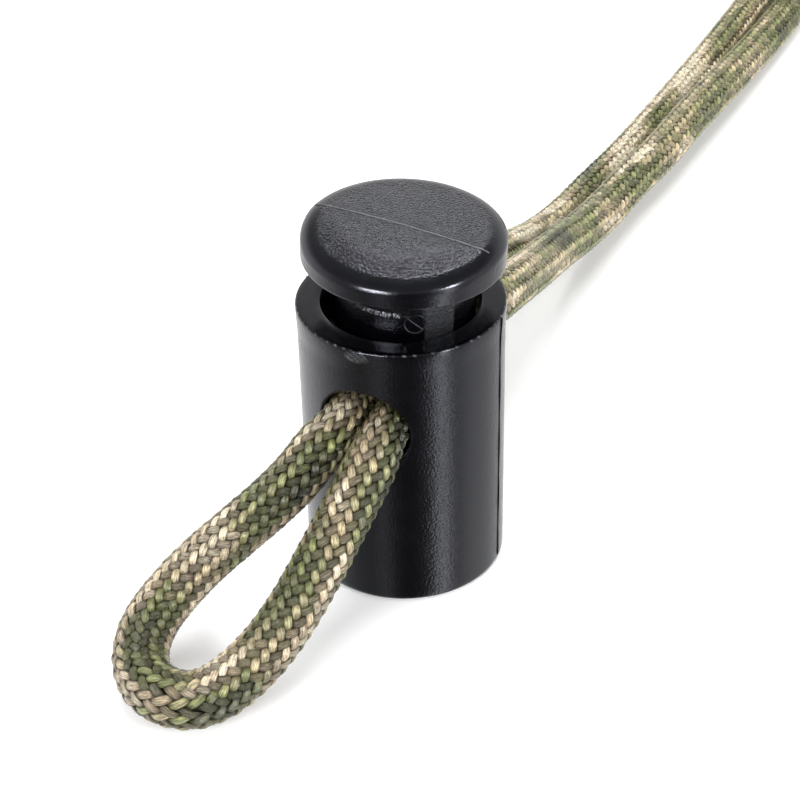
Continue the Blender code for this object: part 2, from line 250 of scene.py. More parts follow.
def steel_material():
    made, tree, shader = new_material("spring_wire")
    marks = solid_noise(tree, 0.3, 3.0)
    tone = ramp(tree, [(0.3, (0.48, 0.48, 0.47)), (0.7, (0.68, 0.68, 0.66))])
    link(marks, "Fac", tone, "Fac")
    link(tone, "Color", shader, "Base Color")
    vary_roughness(marks, shader, {"To Min": 0.18, "To Max": 0.4})
    set_inputs(shader, {"Metallic": 1.0})
    return made


def tie_material():
    """Black woven band."""
    made, tree, shader = new_material("tie_band")
    threads = solid_noise(tree, 0.18, 3.0)
    tone = ramp(tree, [(0.3, grey(0.012)), (0.7, grey(0.05))])
    link(threads, "Fac", tone, "Fac")
    link(tone, "Color", shader, "Base Color")
    add_bump(threads, "Fac", 0.05, shader, "Normal")
    set_inputs(shader, {"Roughness": 0.75, "Sheen Weight": 0.25})
    return made


# ---------------------------------------------------------------- mesh helpers
def add_mesh(name, verts, faces, material, sharp=35):
    """A smooth-shaded mesh object from points in millimetres."""
    data = bpy.data.meshes.new(name)
    data.from_pydata((np.asarray(verts, float) * MM).tolist(), [], faces)
    data.update()
    data.shade_smooth()
    if sharp:
        data.set_sharp_from_angle(angle=math.radians(sharp))
    data.materials.append(material)
    return in_scene(name, data)


def in_scene(name, data):
    made = bpy.data.objects.new(name, data)
    bpy.context.scene.collection.objects.link(made)
    return made


def grid_faces(rows, columns, closed=True, start=0, flip=False):
    """Quads over a grid of points stored row by row."""
    r = np.arange(rows - 1)[:, None] * columns
    c = np.arange(columns if closed else columns - 1)[None, :]
    d = (c + 1) % columns
    quads = np.stack([r + c, r + d, r + columns + d, r + columns + c], -1).reshape(-1, 4) + start
    return quads[:, ::-1] if flip else quads


def closed_tubes(*shapes):
    """Faces of closed tubes, each (rows, sides), stored one after another: the quads, then the caps."""
    quads, caps, base = [], [], 0
    for rows, sides in shapes:
        quads.append(grid_faces(rows, sides, True, base))
        last = base + (rows - 1) * sides
        caps += [list(range(base + sides - 1, base - 1, -1)), list(range(last, last + sides))]
        base += rows * sides
    return np.vstack(quads).tolist() + caps


def unit(vectors, spare=0.0):
    """The same directions at length 1. The spare keeps a length of nothing from being divided by."""
    return vectors / (np.linalg.norm(vectors, axis=-1)[..., None] + spare)


def smooth_step(t):
    t = np.clip(t, 0, 1)
    return t * t * (3 - 2 * t)


def arc(centre, radius, start, end, steps):
    angles = np.radians(np.linspace(start, end, steps + 1))
    return [(centre[0] + radius * math.cos(a), centre[1] + radius * math.sin(a)) for a in angles]


# ---------------------------------------------------------------- cord routes
def lengths_along(line):
    """How far along a polyline each of its points is."""
    return np.concatenate([[0], np.cumsum(np.linalg.norm(np.diff(line, axis=0), axis=1))])


def between(at, along, rows):
    """The rows' values at places between the ones they were given for."""
    return np.stack([np.interp(at, along, column) for column in np.transpose(rows)], -1)


def resample(line, step):
    """Points step apart along a polyline."""
    along = lengths_along(line)
    return between(np.linspace(0, along[-1], int(round(along[-1] / step)) + 1), along, line)


class Route:
    """A smooth line through points, in millimetres, with a frame carried along it."""

    def __init__(self, points, step=0.15):
        knots = np.array(points, float)
        knots = np.vstack([2 * knots[0] - knots[1], knots, 2 * knots[-1] - knots[-2]])
        t = np.linspace(0, 1, 24, endpoint=False)[:, None]
        fine = []
        for a, b, c, d in zip(knots, knots[1:], knots[2:], knots[3:]):
            fine.append((2 * b + (c - a) * t + (2 * a - 5 * b + 4 * c - d) * t**2
                         + (3 * b - a - 3 * c + d) * t**3) / 2)
        fine = np.vstack([*fine, knots[-2][None]])
        along = lengths_along(fine)
        self.length = along[-1]
        count = int(math.ceil(self.length / step))
        self.s = np.linspace(0, self.length, count + 1)
        self.centre = between(self.s, along, fine)
        tangent = unit(np.gradient(self.centre, self.s, axis=0))
        normal = np.zeros_like(tangent)
        side = np.array([0, 0, 1.0])
        for i, way in enumerate(tangent):
            side = unit(side - way * (side @ way))
            normal[i] = side
        self.normal = normal
        self.side = np.cross(tangent, normal)

    def place(self, s, angle, radius):
        """Points at s along the line, at an angle round it and a radius from it."""
        s = np.clip(s, 0, self.length)
        c, n, b = (between(s, self.s, a) for a in (self.centre, self.normal, self.side))
        return c + radius[..., None] * (np.cos(angle)[..., None] * n + np.sin(angle)[..., None] * b)

    def rings(self, spacing):
        """Points on the line about spacing apart, from end to end, in metres."""
        s = np.linspace(0, self.length, int(round(self.length / spacing)) + 1)
        return (between(s, self.s, self.centre) * MM).tolist()


# Yarn colours from the darkest to the lightest, and the pattern value at which each is pure.
TONES = np.array([
    [0.034, 0.033, 0.009], [0.070, 0.072, 0.018], [0.125, 0.136, 0.042],
    [0.200, 0.176, 0.086], [0.350, 0.275, 0.170], [0.720, 0.630, 0.460],
])
TONE_VALUES = (-0.45, -0.22, -0.03, 0.12, 0.32, 0.62)
MELTED = np.array([0.030, 0.026, 0.015])
LIGHTEST_YARN = 0.95
VALUE_JITTER = 0.11
YARN_STRETCH = 1.35  # yarn's length for each length of cord
WAY_APART = 20.0  # keeps the strands of the two ways' yarns different


def camouflage(angle, s, seed, patches, spread):
    """Pattern value of the stitch at an angle round the cord and s millimetres along it."""
    x, y = math.cos(angle), math.sin(angle)
    wide = noise.noise(Vector((x * 0.8, y * 0.8, s / 9.0 + seed)))
    narrow = noise.noise(Vector((x * 2.0 + 7, y * 2.0, s / 3.6 + seed)))
    value = spread * (0.8 * wide + 0.6 * narrow)
    for middle, turn, half_length, half_turn, lift in patches:
        along = (s - middle) / half_length
        round_ = math.remainder(angle - math.radians(turn), 2 * math.pi) / math.radians(half_turn)
        value += lift * math.exp(-(along**2 + round_**2))
    return value


def weave_phase(way, yarn, s):
    """Where a yarn is in its weave: a whole number at the middle of each stitch on top."""
    crossings = s / BRAID_PITCH * 2 * CARRIERS
    return (2 * yarn + crossings - 0.5) / 4 if way > 0 else (2 * yarn - crossings - 2.5) / 4


def stitch_tone(value, rng, least, most):
    """A stitch's colour: its pattern value and its brightness vary a little from stitch to stitch."""
    value += rng.uniform(-VALUE_JITTER, VALUE_JITTER)
    return between(value, TONE_VALUES, TONES) * rng.uniform(least, most)


def braid(name, route, radius_at, material, seed, steps_a_turn, patches, spread, ground, bright, gap, painted_way_light):
    """A braid over a core: every yarn goes over two and under two of the others.

    spread and ground shape the pattern, bright scales its colours and gap sets the painted shade
    on the yarns between the stitches. The last argument, below 1, paints the yarns of one way darker
    and those of the other way lighter: painted shade and painted highlight for the light that one
    way's filaments catch. It also sets the darker way a little lower.
    """
    count = int(route.length / BRAID_PITCH * steps_a_turn) + 1
    s = np.linspace(0.0, route.length, count)
    rng = np.random.RandomState(seed)
    sides = len(YARN_SECTION)
    verts, colours, places, ways = [], [], [], []
    total = radius_at(s)
    thick, lift = YARN_HALF_THICKNESS, YARN_LIFT
    for way in (1, -1):
        for k in range(CARRIERS):
            drift = 0.05 * np.sin(s / 5.3 + rng.uniform(0, 6.28))
            drift = drift + 0.03 * np.sin(s / 1.7 + rng.uniform(0, 6.28))
            angle = 2 * math.pi * (k / CARRIERS + way * s / BRAID_PITCH) + drift / CORD_RADIUS
            phase = weave_phase(way, k, s)
            wave = np.cos(2 * math.pi * phase)
            middle = total - lift - 1.1 * thick + lift * wave - (0.05 * (1 - painted_way_light) if way > 0 else 0)
            path = route.place(s, angle, middle)
            out = unit(route.place(s, angle, middle + 0.1) - path)
            run = unit(np.gradient(path, axis=0))
            across = unit(np.cross(run, out))
            up = np.cross(across, run)
            size = 1 + rng.uniform(-0.05, 0.05)
            half = (YARN_HALF_WIDTH + YARN_SWELL * wave) * size * total / 1.85
            deep = thick * (1 + 0.1 * wave)
            ring = np.stack([path + across * (half * a)[:, None] + up * (deep * b)[:, None]
                             for a, b in YARN_SECTION], 1)
            verts.append(ring.reshape(-1, 3))
            number = np.floor(phase + 0.5).astype(int)
            tones = {}
            for f in np.unique(number):
                at = np.flatnonzero(number == f)
                peak = at[np.argmax(wave[at])]
                value = ground + camouflage(angle[peak], s[peak], seed, patches, spread)
                tones[f] = stitch_tone(value, rng, 0.6, 1.3)
            # One way's stitches are painted darker and the other way's lighter: painted shade and painted
            # highlight.
            tone = bright * (painted_way_light if way > 0 else 2 - painted_way_light) * np.array([tones[f] for f in number])
            # Painted shade: the colour darkens where a yarn dives under the others between the stitches and
            # down the yarn's sides, and the coat thins with it.
            depth = gap + (1 - gap) * smooth_step((wave + 0.25) / 1.05)
            flank = [gap + 0.2, 0.85, 1, 0.85, gap + 0.2, gap]
            light = depth[:, None, None] * np.array(flank)[None, :, None]
            shine = light * (painted_way_light if way > 0 else 1)
            colours.append(np.concatenate([tone[:, None] * light, shine], 2).reshape(-1, 4))
            strand = np.full(count, k + WAY_APART * (way > 0))
            spot = [np.stack([s * YARN_STRETCH, np.full(count, a * 0.3), strand], 1)
                    for a, _ in YARN_SECTION]
            places.append(np.stack(spot, 1).reshape(-1, 3))
            ways.append(np.repeat(across, sides, 0))
    ring_count = int(route.length / 0.5) + 2
    around = 20
    cs = np.linspace(0.0, route.length, ring_count)
    angles = np.linspace(0, 2 * math.pi, around, endpoint=False)
    inner = np.repeat((radius_at(cs) - CORE_DEPTH)[:, None], around, 1)
    core = route.place(np.repeat(cs[:, None], around, 1), np.repeat(angles[None], ring_count, 0), inner)
    verts.append(core.reshape(-1, 3))
    # The core is painted near black: painted shade in the spaces between the yarns.
    colours.append(np.tile([*TONES[0] * 0.5, 0], (ring_count * around, 1)))
    places.append(np.zeros((ring_count * around, 3)))
    ways.append(np.tile([1.0, 0, 0], (ring_count * around, 1)))
    faces = closed_tubes(*[(count, sides)] * (2 * CARRIERS), (ring_count, around))
    made = add_mesh(name, np.vstack(verts), faces, material, sharp=None)
    paint(made, np.vstack(colours), np.vstack(places), np.vstack(ways))
    return made


def paint(made, colours, places, ways):
    """Stores each vertex's colour and openness, its place on its yarn and the way across the yarn."""
    brightest = colours[:, :3].max(1)
    colours[:, :3] *= np.minimum(1, LIGHTEST_YARN / np.maximum(brightest, LIGHTEST_YARN))[:, None]
    colour = made.data.attributes.new("yarn_colour", "FLOAT_COLOR", "POINT")
    colour.data.foreach_set("color", colours.ravel())
    for name, values in (("yarn_place", places), ("yarn_across", ways)):
        made.data.attributes.new(name, "FLOAT_VECTOR", "POINT").data.foreach_set("vector", values.ravel())


def mark(made, name, values):
    """Stores one number for each vertex."""
    made.data.attributes.new(name, "FLOAT", "POINT").data.foreach_set("value", np.asarray(values, float))


def coordinates(made):
    """The mesh's vertices in millimetres."""
    flat = np.zeros(len(made.data.vertices) * 3)
    made.data.vertices.foreach_get("co", flat)
    return flat.reshape(-1, 3) / MM


HANK_SPREAD, HANK_GROUND = 0.75, 0.07
# The pair paints the hank's yarns of one way darker and the other way's lighter: painted shade and painted
# highlight.
HANK_BRIGHT, HANK_PAINTED_WAY_LIGHT = 1.9, (0.8, 1.2)


def braided_tube(name, route, radius_at, material, seed, around=64, rings_a_turn=40):
    """The same braid as one closed skin, for the lengths that are packed away, with a melted tip."""
    end = route.length
    count = int(end / BRAID_PITCH * rings_a_turn) + 1
    s = np.linspace(0, end, count)
    angle = np.linspace(0, 2 * math.pi, around, endpoint=False)
    S, A = np.meshgrid(s, angle, indexing="ij")
    heights, tones_at = [], []
    for way in (1, -1):
        yarn = CARRIERS * (A / (2 * math.pi) - way * S / BRAID_PITCH)
        k = np.round(yarn)
        off = yarn - k
        phase = weave_phase(way, k, S)
        wave = np.cos(2 * math.pi * phase)
        heights.append(YARN_LIFT * wave + 0.24 * np.sqrt(np.maximum(0, 1 - (1.8 * off) ** 2)))
        tones_at.append((k.astype(int), np.floor(phase + 0.5).astype(int), off))
    over = heights[0] > heights[1]
    top = np.where(over, heights[0], heights[1])
    radius = radius_at(S, A) - 0.42 + top
    tip = np.clip((end - S) / 1.6, 0, 1)
    radius = np.where(tip < 1, radius * np.sqrt(np.maximum(1 - (1 - tip) ** 2, 0.0)) * 1.06, radius)
    points = route.place(S, A, radius)
    along = unit(np.gradient(points, axis=0), 1e-9)
    round_ = unit(np.roll(points, -1, 1) - np.roll(points, 1, 1), 1e-9)
    lean = 2 * math.pi * CORD_VISUAL_RADIUS / BRAID_PITCH
    ways = round_ - along * (np.where(over, lean, -lean))[..., None]
    tones = {}
    rng = np.random.RandomState(seed)
    colours = np.zeros((count, around, 3))
    places = np.zeros((count, around, 3))
    for i in range(count):
        for j in range(around):
            w = 0 if over[i, j] else 1
            key = (w, int(tones_at[w][0][i, j]) % CARRIERS, int(tones_at[w][1][i, j]))
            if key not in tones:
                value = HANK_GROUND + camouflage(A[i, j], S[i, j], seed, (), HANK_SPREAD)
                tones[key] = HANK_BRIGHT * HANK_PAINTED_WAY_LIGHT[w] * stitch_tone(value, rng, 0.7, 1.2)
            colours[i, j] = tones[key]
            strand = key[1] + WAY_APART * (w == 0)
            places[i, j] = (S[i, j] * YARN_STRETCH, tones_at[w][2][i, j] * 0.6, strand)
    melted = np.clip((1.1 - (end - S)) / 0.5, 0, 1)[..., None]
    # Painted shade: darker where the yarns dip between the stitches, on the colour and on the coat.
    shade = 0.2 + 0.8 * smooth_step((top - 0.12) / 0.28)[..., None]
    colours = colours * shade * (1 - melted) + MELTED * melted
    colours = np.concatenate([colours, shade], 2)
    made = add_mesh(name, points.reshape(-1, 3), closed_tubes((count, around)), material, sharp=None)
    paint(made, colours.reshape(-1, 4), places.reshape(-1, 3), ways.reshape(-1, 3))
    return made


# ---------------------------------------------------------------- barrel
def barrel_radius(z):
    """Outer radius at a height: a slight draft, and a lip at the top."""
    neck = BARREL_HEIGHT - LIP_HEIGHT
    low = FOOT_RADIUS + (BARREL_RADIUS - FOOT_RADIUS) * np.clip(z / neck, 0, 1)
    lip = smooth_step((z - (neck - 0.8)) / 1.6)
    return low + (LIP_RADIUS - BARREL_RADIUS) * lip


SCAR_AZIMUTH, SCAR_HEIGHT, SCAR_HALF = -0.8, 21.42, (6.4, 0.42)
SCUFF_HEIGHT, SCUFF_SLOPE = 20.2, 0.012
SEAM_AZIMUTH = 92.3


def scar(azimuth, z):
    """1 inside the gate's oval scar, 0 outside it."""
    rough = 0.35 * np.sin(azimuth * 1.9 + 3 * z) * np.cos(4.7 * z)
    far = np.hypot((azimuth - SCAR_AZIMUTH) / SCAR_HALF[0], (z - SCAR_HEIGHT) / SCAR_HALF[1]) + 0.12 * rough
    return smooth_step((1.12 - far) / 0.3)


def wall_relief(azimuth, z):
    """The gate's scar and a scuff below it, as height over the barrel's wall."""
    high = scar(azimuth, z) * (0.035 + 0.03 * np.sin(azimuth * 2.3) * np.sin(z * 13))
    scuff = np.exp(-(((z - SCUFF_HEIGHT - SCUFF_SLOPE * azimuth) / 0.07) ** 2))
    scuff *= smooth_step((azimuth + 5) / 4)
    return high - 0.02 * scuff * smooth_step((17 - azimuth) / 6)


def parting_line(azimuth):
    """The raised line where the two halves of the mould met, down one side of the barrel."""
    top = BARREL_HEIGHT
    z = np.concatenate([np.linspace(0.5, top - 1.6, 50), np.linspace(top - 1.4, top - 0.1, 12)])
    a = math.radians(azimuth)
    r = barrel_radius(z) - 0.02
    line = np.stack([r * math.sin(a), -r * math.cos(a), z], 1)
    height = 0.09 + 0.015 * np.sin(z * 1.3) + 0.04 * smooth_step((z - 20.9) / 0.8)
    return sweep(line, np.tile([math.sin(a), -math.cos(a), 0.0], (len(z), 1)), 0.05, height, 4)


def azimuth_samples():
    """Azimuths across half the barrel, from +90 to -90 degrees, closer together near its seams."""
    close = [90, 89.8, 89.6, 89.3, 89.0, 88.6, 88.2, 87.8, 87.5, 87.2, 86.9, 86.7, 86.4]
    main = np.linspace(86, -86, 125)
    return np.array(close + main.tolist() + [-a for a in reversed(close)])


def barrel_half(back):
    """Vertices and faces of half of the barrel, outside and bore, with its share of the cross hole."""
    az = azimuth_samples()
    top_z, foot_z = BARREL_HEIGHT - LIP_ROUNDING, FOOT_ROUNDING
    lip_z = BARREL_HEIGHT - LIP_HEIGHT
    spans = ((foot_z, 4, 8), (4, lip_z - 0.2, 50), (lip_z - 0.2, lip_z + 0.2, 5), (lip_z + 0.2, top_z, 12))
    side_z = np.concatenate([np.linspace(*span)[:-1] for span in spans] + [[top_z]])
    right = [(90.0, z) for z in side_z[1:]]
    top = [(a, top_z) for a in az[1:]]
    left = [(-90.0, z) for z in side_z[::-1][1:]]
    foot = [(a, foot_z) for a in az[::-1][1:]]
    edge = np.array(right + top + left + foot)
    scale = BARREL_RADIUS * math.pi / 180
    u_edge, w_edge = edge[:, 0] * scale, edge[:, 1] - HOLE_Z
    phi = np.arctan2(w_edge, u_edge)
    count = len(phi)
    hx, hz = HOLE_RADIUS * np.cos(phi), HOLE_RADIUS * np.sin(phi)
    u_hole = BARREL_RADIUS * np.arcsin(hx / BARREL_RADIUS)

    rings = []
    beta = np.radians(np.linspace(0, 90, 6))
    for b in beta[:-1]:
        d = HOLE_ROUNDING * (1 - math.cos(b))
        rings.append((u_hole + d * np.cos(phi), hz + d * np.sin(phi), HOLE_ROUNDING * (1 - math.sin(b))))
    u0, w0 = u_hole + HOLE_ROUNDING * np.cos(phi), hz + HOLE_ROUNDING * np.sin(phi)
    for t in np.linspace(0, 1, 46) ** 1.35:
        rings.append((u0 + (u_edge - u0) * t, w0 + (w_edge - w0) * t, 0.0))
    outer = []
    for u, w, depth in rings:
        a, z = u / scale, w + HOLE_Z
        true = np.where(a > 0, 180, -180) - a if back else a
        r = barrel_radius(z) - depth + wall_relief(true, z) * (depth == 0)
        outer.append((a, r, z))
    tunnel = []
    for r in np.linspace(BARREL_RADIUS - HOLE_ROUNDING, BORE_RADIUS, 7)[1:-1]:
        tunnel.append((np.degrees(np.arcsin(hx / r)), np.full(count, r), hz + HOLE_Z))
    bore_top, bore_foot = BARREL_HEIGHT - 0.15, FLOOR + 0.3
    z_in = bore_foot + (edge[:, 1] - foot_z) / (top_z - foot_z) * (bore_top - bore_foot)
    a_hole = np.degrees(np.arcsin(hx / BORE_RADIUS))
    inner = []
    for t in np.linspace(0, 1, 12):
        inner.append((a_hole + (edge[:, 0] - a_hole) * t, np.full(count, BORE_RADIUS),
                      hz + HOLE_Z + (z_in - hz - HOLE_Z) * t))
    rows = outer[::-1] + tunnel + inner
    turn = -1 if back else 1
    verts = []
    for a, r, z in rows:
        rad = np.radians(a)
        verts.append(np.stack([r * np.sin(rad), -turn * r * np.cos(rad), z], 1))
    return np.vstack(verts), grid_faces(len(rows), count, True, 0, flip=not back)


def rounded_rim(shape_rows):
    """Vertices and faces of rings round the whole barrel; each row is (radius, z)."""
    front = np.radians(azimuth_samples())
    x = np.concatenate([np.sin(front), np.sin(front[::-1][1:-1])])
    y = np.concatenate([-np.cos(front), np.cos(front[::-1][1:-1])])
    verts = [np.stack([x * r, y * r, np.full(len(x), z)], 1) for r, z in shape_rows]
    return np.vstack(verts), grid_faces(len(shape_rows), len(x))


def join_parts(parts):
    """One list of vertices and one of faces from several of each."""
    faces, base = [], 0
    for v, f in parts:
        faces += (f + base).tolist()
        base += len(v)
    return np.vstack([v for v, _ in parts]), faces


def weld(made, distance=2e-6):
    """Merges doubled points and turns every face outwards."""
    shape = bmesh.new()
    shape.from_mesh(made.data)
    bmesh.ops.remove_doubles(shape, verts=shape.verts, dist=distance)
    bmesh.ops.recalc_face_normals(shape, faces=shape.faces)
    shape.to_mesh(made.data)
    shape.free()
    return made


def make_barrel(material):
    top = BARREL_HEIGHT
    rim = arc((LIP_RADIUS - LIP_ROUNDING, top - LIP_ROUNDING), LIP_ROUNDING, 0, 90, 4)
    rim += [(LIP_RADIUS - 0.5, top), (6.4, top), (BORE_RADIUS + 0.2, top)]
    rim += [(BORE_RADIUS + 0.06, top - 0.04), (BORE_RADIUS, top - 0.15)]
    foot = arc((FOOT_RADIUS - FOOT_ROUNDING, FOOT_ROUNDING), FOOT_ROUNDING, 0, -90, 6)
    foot += [(6.0, 0.0), (5.8, 0.12), (3.0, 0.12), (0.6, 0.12), (0.001, 0.12)]
    foot[0] = (float(barrel_radius(np.array(FOOT_ROUNDING))), FOOT_ROUNDING)
    floor = [(BORE_RADIUS, FLOOR + 0.3), (5.65, FLOOR + 0.08), (BORE_RADIUS - 0.3, FLOOR), (2.7, FLOOR),
             (2.53, FLOOR + 0.06), (2.5, FLOOR + 0.2), (2.5, 2.7), (2.42, 2.9), (2.2, 3.0), (0.001, 3.0)]
    parts = [barrel_half(False), barrel_half(True)] + [rounded_rim(rows) for rows in (rim, foot, floor)]
    verts, faces = join_parts(parts)
    made = add_mesh("barrel_shell", verts, faces, material, sharp=None)
    weld(made)
    body_count = len(made.data.vertices)
    append_parts(made, [parting_line(SEAM_AZIMUTH), parting_line(-SEAM_AZIMUTH)])
    made.data.shade_smooth()
    made.data.set_sharp_from_angle(angle=math.radians(40))
    x, y, z = coordinates(made).T
    seam = np.arange(len(z)) >= body_count
    azimuth = np.degrees(np.arctan2(x, -y))
    r = np.hypot(x, y)
    wall = smooth_step((top - 0.12 - z) / 0.3) * (r > BORE_RADIUS + 0.5)
    pale_mark = scar(azimuth, z) * (r > BARREL_RADIUS - 0.3)
    mottle = 0.5 + 0.5 * np.sin(azimuth * 3.1 + 2) * np.sin(z * 17)
    mark(made, "grained", np.where(seam, 0.2, np.clip(0.16 + 0.84 * wall + 2 * pale_mark, 0, 2.5)))
    rim_edge = (np.abs(r - LIP_RADIUS + 0.04) < 0.06) & (z > top - 0.12)
    nicks = np.clip(np.sin(azimuth * 1.7) * np.sin(azimuth * 0.41 + 1) - 0.35, 0, 1) * rim_edge
    mark(made, "pale_mark", np.where(seam, 0, pale_mark * (0.04 + 0.34 * mottle**2) + nicks))
    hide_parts("barrel")
    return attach(made, "barrel")


# ---------------------------------------------------------------- plunger
def turned(profile, segments):
    """A closed lathe body from (r, z) points whose two ends lie on the axis."""
    angles = np.linspace(0, 2 * math.pi, segments, endpoint=False)
    verts = [[0, 0, profile[0][1]]]
    for r, z in profile[1:-1]:
        verts += np.stack([r * np.cos(angles), r * np.sin(angles), np.full(segments, z)], 1).tolist()
    verts.append([0, 0, profile[-1][1]])
    faces = grid_faces(len(profile) - 2, segments, True, 1).tolist()
    last = len(verts) - 1
    for i in range(segments):
        j = (i + 1) % segments
        faces.append([0, 1 + j, 1 + i])
        faces.append([last, last - segments + i, last - segments + j])
    return np.array(verts, float), faces


def prism(outline, start, end):
    """A closed body with an outline of (x, z) points, from start to end along Y."""
    n = len(outline)
    verts = [(x, start, z) for x, z in outline] + [(x, end, z) for x, z in outline]
    faces = [list(range(n - 1, -1, -1)), list(range(n, 2 * n))]
    faces += [[i, (i + 1) % n, n + (i + 1) % n, n + i] for i in range(n)]
    return np.array(verts, float), faces


def rounded_rectangle(low, high, foot, top, corner, steps=8):
    left, right, under, over = low + corner, high - corner, foot + corner, top - corner
    corners = ((right, under, -90), (right, over, 0), (left, over, 90), (left, under, 180))
    return [q for x, z, start in corners for q in arc((x, z), corner, start, start + 90, steps)]


def subtract(target, cutters):
    """Cuts cutters out of target."""
    for cutter in cutters:
        step = target.modifiers.new("cut", "BOOLEAN")
        step.operation = "DIFFERENCE"
        step.solver = "EXACT"
        step.object = cutter
    bpy.context.view_layer.update()
    graph = bpy.context.evaluated_depsgraph_get()
    data = bpy.data.meshes.new_from_object(target.evaluated_get(graph))
    target.modifiers.clear()
    target.data = data
    for cutter in cutters:
        bpy.data.objects.remove(cutter)
    return target


def button_top(r, crest):
    """Height of the button's top at radius r and at a distance behind (+) its parting line."""
    flat = BUTTON_RADIUS - BUTTON_TOP_ROUNDING
    edge = np.clip((r - flat) / BUTTON_TOP_ROUNDING, 0, 1)
    fall = BUTTON_TOP_DROP * (1 - np.sqrt(1 - edge**2)) + 0.06 * edge
    dome = BUTTON_DOME * (1 - np.minimum(r / flat, 1) ** 2)
    return BUTTON_SIDE + dome - fall - gable(crest)


def gable(crest):
    slope = np.where(crest < 0, BUTTON_FRONT_SLOPE, BUTTON_BACK_SLOPE)
    return slope * (np.sqrt(crest**2 + 0.2**2) - 0.2)


def front_droop(x, y):
    """How much lower the button's shoulder lies towards its front."""
    r = np.hypot(x, y)
    ahead = np.clip(-y / np.maximum(r, 0.1), 0, 1)
    return BUTTON_FRONT_DROOP * smooth_step(1.25 * ahead) * smooth_step((r - 4.3) / 2.3)


def behind_crest(x, y):
    """Distance behind the parting line across the button's top."""
    return (y - CREST_START - CREST_SLOPE * x) / math.hypot(1, CREST_SLOPE)


def sweep(line, outward, half_width, half_height, sides=8):
    """Vertices and faces of a closed bead along a line: outward is its up direction at each point."""
    line, outward = np.array(line, float), np.array(outward, float)
    across = unit(np.cross(unit(np.gradient(line, axis=0)), outward))
    ring = np.linspace(0, 2 * math.pi, sides, endpoint=False)
    wide, high = np.broadcast_to(half_width, len(line)), np.broadcast_to(half_height, len(line))
    verts = line[:, None] + across[:, None] * (wide[:, None] * np.cos(ring))[..., None]
    verts = verts + outward[:, None] * (high[:, None] * np.sin(ring))[..., None]
    return verts.reshape(-1, 3), closed_tubes((len(line), sides))


EJECTOR_TURN, EJECTOR_HEIGHT, EJECTOR_RADIUS = 30.3, -2.45, 0.74


def on_stem(turn, z, lift=0.0):
    """A point on the stem's wall, at an angle from the front in degrees, and its outward direction."""
    a = math.radians(turn)
    out = (math.sin(a), -math.cos(a), 0.0)
    r = STEM_RADIUS + lift
    return (STEM_SHIFT + r * out[0], r * out[1], z), out


def on_ejector(x, y, lift):
    """The same for a point at x and y on the ejector's round face."""
    return on_stem(EJECTOR_TURN + math.degrees(x / STEM_RADIUS), EJECTOR_HEIGHT + y, lift)


def plunger_marks():
    """The button's parting line, the ejector's ring and slash on the stem, and the recess's lip."""
    xs = np.linspace(-BUTTON_RADIUS + 0.35, BUTTON_RADIUS - 0.62, 60)
    ys = CREST_START + CREST_SLOPE * xs
    r = np.hypot(xs, ys)
    skin = button_top(r, np.zeros_like(xs))
    level = button_top(np.minimum(r, BUTTON_RADIUS - BUTTON_TOP_ROUNDING + 0.35), np.zeros_like(xs))
    taper = smooth_step((xs - xs[0]) / 0.3) * smooth_step((xs[-1] - xs) / 0.3)
    crown = skin + (level - skin) * taper
    wander = 0.012 * np.sin(xs * 3.1) + 0.01 * np.sin(xs * 7.7)
    line = np.stack([xs, ys + wander, (skin + crown) / 2 - 0.005], 1)
    parts = [sweep(line, np.tile([0, 0, 1.0], (60, 1)), 0.045, 0.045 + (crown - skin) / 2)]
    ring = [on_ejector(EJECTOR_RADIUS * math.cos(t), EJECTOR_RADIUS * math.sin(t), 0.01)
            for t in np.linspace(0, 2 * math.pi, 33)]
    parts.append(sweep(*zip(*ring), 0.07, 0.07))
    reach = EJECTOR_RADIUS * 0.95
    slash = [on_ejector(reach * t * 0.75, -reach * t * 0.66, 0.02) for t in np.linspace(-1, 1, 9)]
    parts.append(sweep(*zip(*slash), 0.06, 0.08))
    turns = np.linspace(-21, 18.5, 90)
    rough = 0.03 * np.sin(turns * 2.9) + 0.025 * np.sin(turns * 1.3 + 1)
    lip = [on_stem(t, -RECESS_HEIGHT - 0.12 + 0.6 * q, -0.06 + q) for t, q in zip(turns, rough)]
    parts.append(sweep(*zip(*lip), 0.30, 0.18, 4))
    return parts


